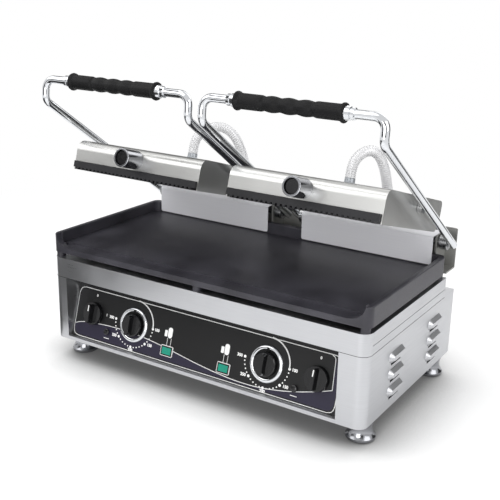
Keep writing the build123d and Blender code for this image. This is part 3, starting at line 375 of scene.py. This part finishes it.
def conduitRib():
    # a ring pulled out in four steps: valley, crest, crest, valley
    bpy.ops.mesh.primitive_circle_add(vertices=conduit["around"], radius=conduit["valley"],
                                      rotation=(0, pi / 2, 0))
    rib = bpy.context.object
    settle(rib)
    bpy.ops.object.mode_set(mode="EDIT")
    bpy.ops.mesh.select_all(action="SELECT")
    grow = conduit["crest"] / conduit["valley"]
    for step, share in zip(conduit["rib"], (grow, 1.0, 1 / grow, 1.0)):
        bpy.ops.mesh.extrude_region_move(TRANSFORM_OT_translate={"value": (conduit["pitch"] * step, 0, 0)})
        bpy.ops.transform.resize(value=(1, share, share))
    bpy.ops.object.mode_set(mode="OBJECT")
    return rib


for hand in ("left", "right"):
    route, length, middle = conduitRoute(conduit[hand])
    count = int(length / 2 // conduit["pitch"])
    stretch = length / 2 / (count * conduit["pitch"])
    for part, start in (("front", 0.0), ("rear", length / 2)):
        half = conduitRib()
        half.name = "conduit_" + hand + "_" + part
        repeat = half.modifiers.new("ribs", "ARRAY")
        repeat.count = count
        repeat.use_merge_vertices = True
        repeat.merge_threshold = 0.0002
        applyAll(half)
        half.scale.x = stretch
        half.location.x = start
        settle(half)
        lay = half.modifiers.new("arch", "CURVE")
        lay.object = route
        lay.deform_axis = "POS_X"
        applyAll(half)
        faceOutwards(25)
        dress(half, "steel hose, galvanised")
        # both halves are baked in place where they meet
        if part == "front":
            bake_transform(half)
        else:
            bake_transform(half)
        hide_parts("conduit_" + hand)
    bpy.data.objects.remove(route)
print("conduits laid")

# counterbalance springs: wound wire with a leg at each end
spring = {"axis": (0.124194, 0.231), "radius": 0.0099, "wire": 0.0019, "pitch": 0.0041, "turns": 16,
          "sides": 10, "stepsPerTurn": 24, "start": {"left": -0.232, "right": 0.066},
          "rearLeg": 0.0275, "frontLeg": 0.009}
for hand in ("left", "right"):
    first = (spring["start"][hand], spring["axis"][0], spring["axis"][1] + spring["radius"])
    bpy.ops.mesh.primitive_circle_add(vertices=spring["sides"], radius=spring["wire"],
                                      location=(0, 0, spring["radius"]), rotation=(pi / 2, 0, 0))
    coil = bpy.context.object
    settle(coil)
    wind = coil.modifiers.new("winding", "SCREW")
    wind.axis = "X"
    wind.angle = 2 * pi * spring["turns"]
    wind.screw_offset = spring["pitch"] * spring["turns"]
    wind.steps = wind.render_steps = spring["stepsPerTurn"] * spring["turns"]
    wind.use_merge_vertices = False
    applyAll(coil)
    coil.location = (spring["start"][hand], *spring["axis"])
    settle(coil)
    legs = []
    run = spring["pitch"] * spring["turns"]
    for x, length, way in ((0, spring["rearLeg"], 1), (run, spring["frontLeg"], -1)):
        bpy.ops.mesh.primitive_cylinder_add(vertices=spring["sides"], radius=spring["wire"], depth=length,
                                            location=(first[0] + x, first[1] + way * length / 2, first[2]),
                                            rotation=(pi / 2, 0, 0))
        legs.append(bpy.context.object)
        settle(legs[-1])
    coil = joinPieces("spring_coil_" + hand, legs + [coil])
    faceOutwards(40)
    dress(coil, "spring steel, oiled")
    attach(coil, "base")
    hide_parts("torsion_spring_" + hand)
print("springs wound")

# printing on the control panel, laid out in mm from the middle of its lower edge; the ink stands proud in
# metres, and an outline is its left, right, low and high edge and its corner radius
panel = {"middle": -0.007, "front": -0.157806, "bottom": 0.042, "tilt": 17.0,
         "proud": 0.00006, "fieldProud": 0.00003, "outline": (-247.6, 242.6, 1.4, 83.2, 11.0), "line": 1.3,
         "textWeight": 0.00028, "dotSides": 14}
divider = [(-246, 20.5), (-238, 23.7), (-204, 28.6), (-159, 31.0), (-125, 30.2), (-99, 28.6), (-65, 24.6),
           (-39, 20.6), (12, 12.7), (68, 6.9), (92, 6.2), (114, 6.8), (140, 9.6), (169, 14.8), (205, 24.0),
           (234.3, 33.7)]
innerEdge = [(234.3, 33.7, "corner"), (231.6, 74, "corner"), (230.2, 79.4), (225.4, 82.4, "corner")]
fieldEdge = [(241.0, 72.0, "corner"), (241.0, 14.0, "corner"), (237.8, 7.0), (231.6, 3.8, "corner"),
             (-235.6, 3.8, "corner"), (-243.0, 7.0), (-246.4, 14.0, "corner"), (-246.4, 20.5, "corner")]
lean = radians(panel["tilt"])
outward = Vector((0, -cos(lean), sin(lean)))
upward = Vector((0, sin(lean), cos(lean)))


def panelPlace(u=0.0, v=0.0, height=0.0):
    # u and v in mm on the panel, height in metres above its face
    foot = Vector((panel["middle"] + u / 1000, panel["front"], panel["bottom"]))
    spot = foot + upward * v / 1000 + outward * height
    return Matrix.Translation(spot) @ Matrix.Rotation(pi / 2 - lean, 4, "X")


def drawnCurve(points, closed=False, filled=False, width=0.0):
    # a line runs smoothly through each (u, v) and turns sharply at each (u, v, "corner"); width in mm
    line = bpy.data.curves.new("drawn", "CURVE")
    line.dimensions = "2D"
    line.fill_mode = "BOTH" if filled else "NONE"
    line.resolution_u = 8
    if not filled:
        line.dimensions = "3D"
        line.bevel_depth = width / 2000
        line.bevel_resolution = 0
    spline = line.splines.new("BEZIER")
    spline.bezier_points.add(len(points) - 1)
    for knot, point in zip(spline.bezier_points, points):
        knot.co = (point[0] / 1000, point[1] / 1000, 0)
        kind = "VECTOR" if len(point) > 2 else "AUTO"
        knot.handle_left_type = knot.handle_right_type = kind
    spline.use_cyclic_u = closed
    drawn = bpy.data.objects.new("drawn", line)
    bpy.context.collection.objects.link(drawn)
    return toMesh(drawn)


def printFlat(drawn, flatten=0.1, height=panel["proud"]):
    # squeezed to the thickness of ink, then laid on the panel
    pick(drawn)
    drawn.scale = (1, 1, flatten)
    bpy.ops.object.transform_apply(location=False, rotation=False, scale=True)
    drawn.matrix_world = panelPlace(height=height)
    settle(drawn)
    return drawn


def roundedFrame(left, right, low, high, corner):
    cut = corner * 0.29     # how far the middle of the arc lies inside the square corner
    return [(left + corner, low, "corner"), (right - corner, low, "corner"), (right - cut, low + cut),
            (right, low + corner, "corner"), (right, high - corner, "corner"), (right - cut, high - cut),
            (right - corner, high, "corner"), (left + corner, high, "corner"), (left + cut, high - cut),
            (left, high - corner, "corner"), (left, low + corner, "corner"), (left + cut, low + cut)]


printed = [printFlat(drawnCurve(roundedFrame(*panel["outline"]), closed=True, width=panel["line"])),
           printFlat(drawnCurve(divider, width=panel["line"])),
           printFlat(drawnCurve(innerEdge, width=panel["line"]))]
field = [(*divider[0], "corner")] + divider[1:-1] + innerEdge[:2] + fieldEdge
violet = printFlat(drawnCurve(field, closed=True, filled=True), 1.0, panel["fieldProud"])
violet.name = "panel_lower_field"
dress(violet, "screen ink, dark violet")
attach(violet, "base")


def printedText(words, u, v, size):
    bpy.ops.object.text_add()
    text = bpy.context.object
    text.data.body = words
    text.data.size = size / 1000
    text.data.align_x = "CENTER"
    text.data.align_y = "CENTER"
    text.data.offset = panel["textWeight"]
    text = toMesh(text)
    text.matrix_world = panelPlace(u, v, panel["proud"])
    settle(text)
    return text


def printedDot(u, v, radius):
    bpy.ops.mesh.primitive_circle_add(vertices=panel["dotSides"], radius=radius / 1000, fill_type="NGON")
    dot = bpy.context.object
    dot.matrix_world = panelPlace(u, v, panel["proud"])
    settle(dot)
    return dot


# dial: a plain arc from twelve to three o'clock, then numbers every 45 degrees with four small dots between;
# places on it are in degrees from twelve, clockwise
dial = {"offset": 125.0, "row": 46.0, "radius": 38.0, "arc": (3, 18, 36, 54, 72, 90), "arcWidth": 2.4,
        "numbers": ["100", "150", "200", "250", "300"], "first": 90, "apart": 45, "dots": 4,
        "bigDot": 2.2, "smallDot": 1.15, "text": 6.2,
        "textShift": [(8.6, 0), (9.6, 0), (0, -4.7), (-9.4, 0), (-9.2, 0)]}


def onDial(middle, clock):
    return middle + dial["radius"] * sin(radians(clock)), dial["row"] + dial["radius"] * cos(radians(clock))


for side in (-1, 1):
    middle = side * dial["offset"]
    arc = [onDial(middle, clock) for clock in dial["arc"]]
    printed.append(printFlat(drawnCurve(arc, width=dial["arcWidth"])))
    for index, number in enumerate(dial["numbers"]):
        clock = dial["first"] + dial["apart"] * index
        u, v = onDial(middle, clock)
        across, up = dial["textShift"][index]
        printed.append(printedDot(u, v, dial["bigDot"]))
        printed.append(printedText(number, u + across, v + up, dial["text"]))
        if index < len(dial["numbers"]) - 1:
            gap = dial["apart"] / (dial["dots"] + 1)
            for place in range(1, dial["dots"] + 1):
                printed.append(printedDot(*onDial(middle, clock + gap * place), dial["smallDot"]))

# marks of the switches and the line under each reset button, across and up from their middles
switchMark = {"offset": 209.0, "row": 44.0, "zero": 30.0, "one": (26.0, 3.0), "text": 5.4}
resetMark = {"offset": 176.5, "row": 21.0, "below": 11.0, "half": 5.5, "width": 1.3}
for side in (-1, 1):
    middle, row = side * switchMark["offset"], switchMark["row"]
    printed.append(printedText("0", middle, row + switchMark["zero"], switchMark["text"]))
    if side < 0:    # the inner edge leaves no room for a 1 at the right switch
        across, up = switchMark["one"]
        printed.append(printedText("1", middle + across, row + up, switchMark["text"]))
    u, v = side * resetMark["offset"], resetMark["row"] - resetMark["below"]
    dash = [(u - resetMark["half"], v, "corner"), (u + resetMark["half"], v, "corner")]
    printed.append(printFlat(drawnCurve(dash, width=resetMark["width"])))

# lamp sign: a closed lid shape with a flap at its left, on a stem that joins the bezel below it;
# head and flap are left, right, low, high and corner, across and up from the lamp
lampSign = {"offset": 53.5, "row": 19.0, "stems": (-2.6, 4.6), "stemFoot": 8.4, "stemTop": 20.5, "line": 0.9,
            "head": (-3.2, 5.2, 20.5, 37.5, 4.0), "flap": (-9.4, -4.2, 22.0, 32.0, 1.0)}
for side in (-1, 1):
    middle, row = side * lampSign["offset"], lampSign["row"]
    for across in lampSign["stems"]:
        stem = [(middle + across, row + lampSign["stemFoot"], "corner"),
                (middle + across, row + lampSign["stemTop"], "corner")]
        printed.append(printFlat(drawnCurve(stem, width=lampSign["line"])))
    for shape in ("head", "flap"):
        left, right, low, high, corner = lampSign[shape]
        sign = roundedFrame(middle + left, middle + right, row + low, row + high, corner)
        printed.append(printFlat(drawnCurve(sign, closed=True, filled=True), 1.0))
marksPiece = joinPieces("panel_printing", printed)
dress(marksPiece, "screen ink, white")
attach(marksPiece, "base")


def panelBar(name, mark, side):
    # a thin bar with rounded edges that stands upright on the panel, from and to in mm above its row
    bpy.ops.mesh.primitive_cube_add(size=1)
    bar = bpy.context.object
    bar.name = name
    bar.scale = (mark["width"] / 1000, (mark["to"] - mark["from"]) / 1000, mark["thick"])
    settle(bar)
    roundEdges(bar, mark["rounding"])
    bar.matrix_world = panelPlace(side * mark["offset"], mark["row"] + (mark["from"] + mark["to"]) / 2,
                                  mark["height"])
    settle(bar)
    return bar


# white pointer line on each switch knob's ridge
pointer = {"offset": 209.0, "row": 44.0, "from": 4.5, "to": 14.0, "width": 1.7, "height": 0.01803,
           "thick": 0.0003, "rounding": 0.00012}
for hand, side in (("left", -1), ("right", 1)):
    line = panelBar("switch_pointer_" + hand, pointer, side)
    dress(line, "screen ink, white")
    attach(line, hand + "_switch")

# black mark over the inner edge of each thermostat band, at its top
ringMark = {"offset": 125.0, "row": 44.0, "from": 18.9, "to": 24.2, "width": 3.9, "height": 0.00375,
            "thick": 0.0005, "rounding": 0.0002}
for hand, side in (("left", -1), ("right", 1)):
    inlay = panelBar("ring_inlay_" + hand, ringMark, side)
    dress(inlay, "phenolic, moulded matt")
    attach(inlay, hand + "_thermostat")

# domed cap on each reset button: a disc raised three times, each time drawn in by a share of its width
resetCap = {"offset": 176.5, "row": 21.0, "radius": 0.0052, "height": 0.0025, "thick": 0.0012, "sides": 36,
            "dome": ((0.92, 0.0004), (0.8, 0.0003), (0.5, 0.0003))}
for hand, side in (("left", -1), ("right", 1)):
    bpy.ops.mesh.primitive_cylinder_add(vertices=resetCap["sides"], radius=resetCap["radius"],
                                        depth=resetCap["thick"])
    cap = bpy.context.object
    cap.name = "reset_cap_" + hand
    selectVertices(cap.data, lambda co: co.z > 0)
    for share, rise in resetCap["dome"]:
        bpy.ops.mesh.extrude_region_move(TRANSFORM_OT_translate={"value": (0, 0, rise)})
        bpy.ops.transform.resize(value=(share, share, 1))
    bpy.ops.object.mode_set(mode="OBJECT")
    cap.matrix_world = panelPlace(side * resetCap["offset"], resetCap["row"],
                                  resetCap["height"] + resetCap["thick"] / 2)
    settle(cap)
    bpy.ops.object.shade_smooth_by_angle(angle=radians(40))
    dress(cap, "phenolic, moulded glossy")
    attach(cap, hand + "_reset")

# black gasket on each lamp bezel, so that only its outer edge stays white
gasket = {"offset": 53.5, "row": 19.0, "width": 21.0, "depth": 15.0, "band": 3.0, "height": 0.0012,
          "thick": 0.0005, "rounding": 0.00015}
for hand, side in (("left", -1), ("right", 1)):
    bpy.ops.mesh.primitive_plane_add(size=1)
    seal = bpy.context.object
    seal.name = "lamp_gasket_" + hand
    seal.scale = (gasket["width"] / 1000, gasket["depth"] / 1000, 1)
    settle(seal)
    bpy.ops.object.mode_set(mode="EDIT")
    bpy.ops.mesh.select_all(action="SELECT")
    bpy.ops.mesh.inset(thickness=gasket["band"] / 1000, depth=0)
    bpy.ops.mesh.delete(type="FACE")
    bpy.ops.object.mode_set(mode="OBJECT")
    solid = seal.modifiers.new("thickness", "SOLIDIFY")
    solid.thickness = gasket["thick"]
    solid.offset = 1
    roundEdges(seal, gasket["rounding"])
    seal.matrix_world = panelPlace(side * gasket["offset"], gasket["row"], gasket["height"])
    settle(seal)
    dress(seal, "phenolic, moulded glossy")
    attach(seal, "base")
print("panel printed")

# bands round the thermostat knobs: low rings whose faces fall outwards
ring = {"offset": 125.0, "row": 44.0, "sides": 72, "smooth": 50,
        "steps": [(0.3, 21.4), (0.3, 27.9), (1.6, 27.9), (2.6, 27.3), (3.4, 26.0), (3.7, 24.0), (3.4, 22.2),
                  (2.6, 21.4), (0.3, 21.4)]}
for hand, side in (("left", -1), ("right", 1)):
    band = turned("thermostat_band_" + hand, ring["steps"], ring["sides"], ring["smooth"], hollow=True)
    band.matrix_world = panelPlace(side * ring["offset"], ring["row"])
    settle(band)
    dress(band, "steel, chrome plated")
    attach(band, hand + "_thermostat")
    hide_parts("thermostat_ring_" + hand)
print("rings turned")

# grips: flanged ends, three bulges between four necks; fluted ferrules beside them. Sizes are in mm, the
# steps of an end are counted from it, and those of a ferrule from one millimetre inside the grip
grip = {"half": 82.0, "neck": 9.2, "bulge": 11.1, "bulges": 3, "zone": 76.0, "stepsPerBulge": 8,
        "fullness": 0.6, "sides": 56, "smooth": 60,
        "end": [(0, 7.0), (0, 11.6), (0.7, 12.7), (2.2, 13.2), (4.2, 12.8), (6.2, 11.2), (8.5, 10.9),
                (40.0, 10.9), (43.0, 10.2)]}
ferrule = {"flutes": 16, "smooth": 20, "inside": 1.0,
           "steps": [(0, 9.8), (7.5, 8.9), (8.2, 7.4), (9.2, 8.3), (14, 8.1), (15, 6.4)]}
gripEnd = [(height - grip["half"], radius) for height, radius in grip["end"]]
gripSteps = list(gripEnd)
stepLength = grip["zone"] / grip["bulges"] / grip["stepsPerBulge"]
for index in range(grip["bulges"] * grip["stepsPerBulge"] + 1):
    wave = (1 - cos(2 * pi * index / grip["stepsPerBulge"])) / 2
    radius = grip["neck"] + (grip["bulge"] - grip["neck"]) * wave ** grip["fullness"]
    gripSteps.append((-grip["zone"] / 2 + index * stepLength, radius))
gripSteps += [(-height, radius) for height, radius in reversed(gripEnd)]
for hand in ("left", "right"):
    corners = [Vector(v.co) for v in nodes["grip_" + hand].data.vertices]
    middle = [(min(c[k] for c in corners) + max(c[k] for c in corners)) / 2 for k in range(3)]
    place = Matrix.Translation(middle) @ Matrix.Rotation(pi / 2, 4, "Y")
    sleeve = turned("grip_sleeve_" + hand, gripSteps, grip["sides"], grip["smooth"])
    sleeve.matrix_world = place
    settle(sleeve)
    dress(sleeve, "phenolic, moulded matt")
    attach(sleeve, hand + "_arm")
    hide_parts("grip_" + hand)
    ends = []
    for turnBy in (0, pi):
        foot = grip["half"] - ferrule["inside"]
        end = turned("end", [(foot + height, radius) for height, radius in ferrule["steps"]],
                     ferrule["flutes"], ferrule["smooth"])
        end.matrix_world = place @ Matrix.Rotation(turnBy, 4, "Y")
        settle(end)
        ends.append(end)
    pair = joinPieces("ferrule_sleeves_" + hand, ends)
    dress(pair, "steel, chrome plated")
    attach(pair, hand + "_arm")
    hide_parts("ferrules_" + hand)
print("grips turned")

# thin dark line along the real joint between the top frame and the housing, a painted shadow of its gap, around
# the front and both sides, in mm but for its height
seamShadow = {"height": 0.144, "side": 285.0, "front": -165.806, "back": 114.5, "corner": 16.0, "width": 0.75}
turns = [radians(angle) for angle in range(0, 91, 10)]
rightHalf = [(seamShadow["side"], seamShadow["back"], "corner")] + [
    (seamShadow["side"] - seamShadow["corner"] * (1 - cos(t)), seamShadow["front"] + seamShadow["corner"] * (1 - sin(t)), "corner")
    for t in turns]
leftHalf = [(-x, y, kind) for x, y, kind in reversed(rightHalf)]
# painted shadow: a dark matt tube half sunk along the joint
jointShadow = drawnCurve(rightHalf + leftHalf, width=seamShadow["width"])
jointShadow.name = "frame_joint_shadow"
jointShadow.location.z = seamShadow["height"]
settle(jointShadow)
dress(jointShadow, "phenolic, moulded matt")
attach(jointShadow, "base")
print("joint drawn")

def showsBackground(tree, rays):
    # 1 for a ray from the camera, off metal or through glass: all of them see the white background
    seen = rays.outputs["Is Camera Ray"]
    for kind in ("Is Glossy Ray", "Is Transmission Ray"):
        both = addNode(tree, "ShaderNodeMath", {"operation": "MAXIMUM"}, {0: seen, 1: rays.outputs[kind]})
        seen = both.outputs[0]
    return seen


# floor: white paper that fades into the background far from the object; under the housing its colour and glow
# are darkened by ambient occlusion, a painted shadow in the nook where less light reaches it; open is the share
# of free sky over a point
sheet = {"size": 30, "below": 0.0002, "white": 0.84, "glow": 0.3, "fadeFrom": 0.55, "fadeTo": 1.3}
paintedNookShadow = {"reach": 0.12, "samples": 12, "openFrom": 0.3, "openTo": 0.95, "darkest": 0.2}
bpy.ops.mesh.primitive_plane_add(size=sheet["size"], location=(0, 0, -sheet["below"]))
floor = bpy.context.object
floor.name = "floor"
floorMaterial = bpy.data.materials.new("paper, white matt")
floorMaterial.use_nodes = True
tree = floorMaterial.node_tree
tree.nodes.clear()
seen = showsBackground(tree, addNode(tree, "ShaderNodeLightPath"))
# painted shadow: the share of open sky darkens the paper and its glow
sky = addNode(tree, "ShaderNodeAmbientOcclusion", {"samples": paintedNookShadow["samples"], "Distance": paintedNookShadow["reach"]})
openShare = addNode(tree, "ShaderNodeMapRange",
                    {1: paintedNookShadow["openFrom"], 2: paintedNookShadow["openTo"], 3: paintedNookShadow["darkest"], 4: 1.0},
                    {0: sky.outputs["AO"]})
shaded = addNode(tree, "ShaderNodeMath", {"operation": "MULTIPLY", 1: sheet["white"]},
                 {0: openShare.outputs[0]})
paper = addNode(tree, "ShaderNodeBsdfDiffuse", {}, {"Color": shaded.outputs[0]})
lift = addNode(tree, "ShaderNodeMath", {"operation": "MULTIPLY", 1: sheet["glow"]}, {0: seen})
glowShare = addNode(tree, "ShaderNodeMath", {"operation": "MULTIPLY"},
                    {0: lift.outputs[0], 1: openShare.outputs[0]})
glow = addNode(tree, "ShaderNodeEmission", {"Color": (1, 1, 1, 1)}, {"Strength": glowShare.outputs[0]})
near = addNode(tree, "ShaderNodeAddShader", {}, {0: paper.outputs[0], 1: glow.outputs[0]})
place = addNode(tree, "ShaderNodeTexCoord").outputs["Object"]
reach = addNode(tree, "ShaderNodeVectorMath", {"operation": "LENGTH"}, {0: place})
fade = addNode(tree, "ShaderNodeMapRange",
               {"interpolation_type": "SMOOTHSTEP", 1: sheet["fadeFrom"], 2: sheet["fadeTo"], 3: 0.0, 4: 1.0},
               {0: reach.outputs["Value"]})
fadeSeen = addNode(tree, "ShaderNodeMath", {"operation": "MULTIPLY"}, {0: fade.outputs[0], 1: seen})
white = addNode(tree, "ShaderNodeEmission", {"Color": (1, 1, 1, 1), "Strength": 1.0})
both = addNode(tree, "ShaderNodeMixShader", {},
               {0: fadeSeen.outputs[0], 1: near.outputs[0], 2: white.outputs[0]})
addNode(tree, "ShaderNodeOutputMaterial", {}, {"Surface": both.outputs[0]})
floor.data.materials.append(floorMaterial)
floor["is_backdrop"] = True

# softboxes, all turned to the middle of the object
lamps = {
    "softbox above left": {"place": (-1.1, -0.9, 1.9), "size": 2.2, "power": 28},
    "softbox right": {"place": (1.9, -0.3, 1.2), "size": 1.4, "power": 13},
    "softbox front": {"place": (0.5, -2.0, 0.6), "size": 1.0, "power": 16},
    "softbox behind": {"place": (0.0, 1.7, 1.5), "size": 1.4, "power": 9},
}
lampAim = Vector((0, 0, 0.15))
for name, lamp in lamps.items():
    bpy.ops.object.light_add(type="AREA", location=lamp["place"])
    light = bpy.context.object
    light.name = name
    light.data.shape = "SQUARE"
    light.data.size = lamp["size"]
    light.data.energy = lamp["power"]
    light.rotation_euler = (lampAim - light.location).to_track_quat("-Z", "Y").to_euler()

# dark cards that only reflections see, as in a product studio
cards = {
    "card behind camera": {"place": (1.25, -1.98, 0.95), "size": (1.5, 1.3)},
    "card floor left": {"place": (-0.86, -0.62, 0.003), "size": (1.0, 1.0), "flat": True},
    "card above left": {"place": (-0.85, -0.5, 1.5), "size": (0.8, 0.35)},
    "card front left": {"place": (-0.95, -1.35, 0.5), "size": (0.8, 0.45)},
    "card behind left": {"place": (-1.1, 1.5, 1.05), "size": (1.8, 1.2)},
    "card behind right": {"place": (1.25, 1.5, 0.6), "size": (1.5, 1.2)},
    "card floor right": {"place": (1.05, 1.15, 0.003), "size": (1.0, 0.8), "flat": True},
}
cardAim = Vector((0, 0, 0.2))
cardMaterial = bpy.data.materials.new("card, grey matt")
cardMaterial.use_nodes = True
cardShader = cardMaterial.node_tree.nodes["Principled BSDF"]
cardShader.inputs["Base Color"].default_value = colourOf("#2a2a2a")
cardShader.inputs["Roughness"].default_value = 1.0
for name, card in cards.items():
    bpy.ops.mesh.primitive_plane_add(size=1, location=card["place"])
    board = bpy.context.object
    if not card.get("flat"):
        board.rotation_euler = (cardAim - board.location).to_track_quat("Z", "Y").to_euler()
    board.name = name
    board.scale = (*card["size"], 1)
    board.data.materials.append(cardMaterial)
    board.visible_camera = False
    board.visible_diffuse = False
    board.visible_shadow = False
    board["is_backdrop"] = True

# white background; metal mirrors it a little darker, which keeps its edges apart from it, and its light on
# the object is half as strong, so that the softboxes still shape it
studio = {"background": 1.0, "mirrored": 0.85, "light": 0.5}
world = bpy.context.scene.world or bpy.data.worlds.new("studio")
bpy.context.scene.world = world
world.use_nodes = True
tree = world.node_tree
tree.nodes.clear()
rays = addNode(tree, "ShaderNodeLightPath")
bright = addNode(tree, "ShaderNodeMapRange", {1: 0.0, 2: 1.0, 3: studio["light"], 4: studio["background"]},
                 {0: showsBackground(tree, rays)})
level = addNode(tree, "ShaderNodeMath",
                {"operation": "MULTIPLY_ADD", 1: studio["mirrored"] - studio["background"]},
                {0: rays.outputs["Is Glossy Ray"], 2: bright.outputs[0]})
sky = addNode(tree, "ShaderNodeBackground", {"Color": (1, 1, 1, 1)}, {"Strength": level.outputs[0]})
addNode(tree, "ShaderNodeOutputWorld", {}, {"Surface": sky.outputs[0]})
bpy.context.scene.view_settings.view_transform = "Standard"
print("studio lit")

low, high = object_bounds()
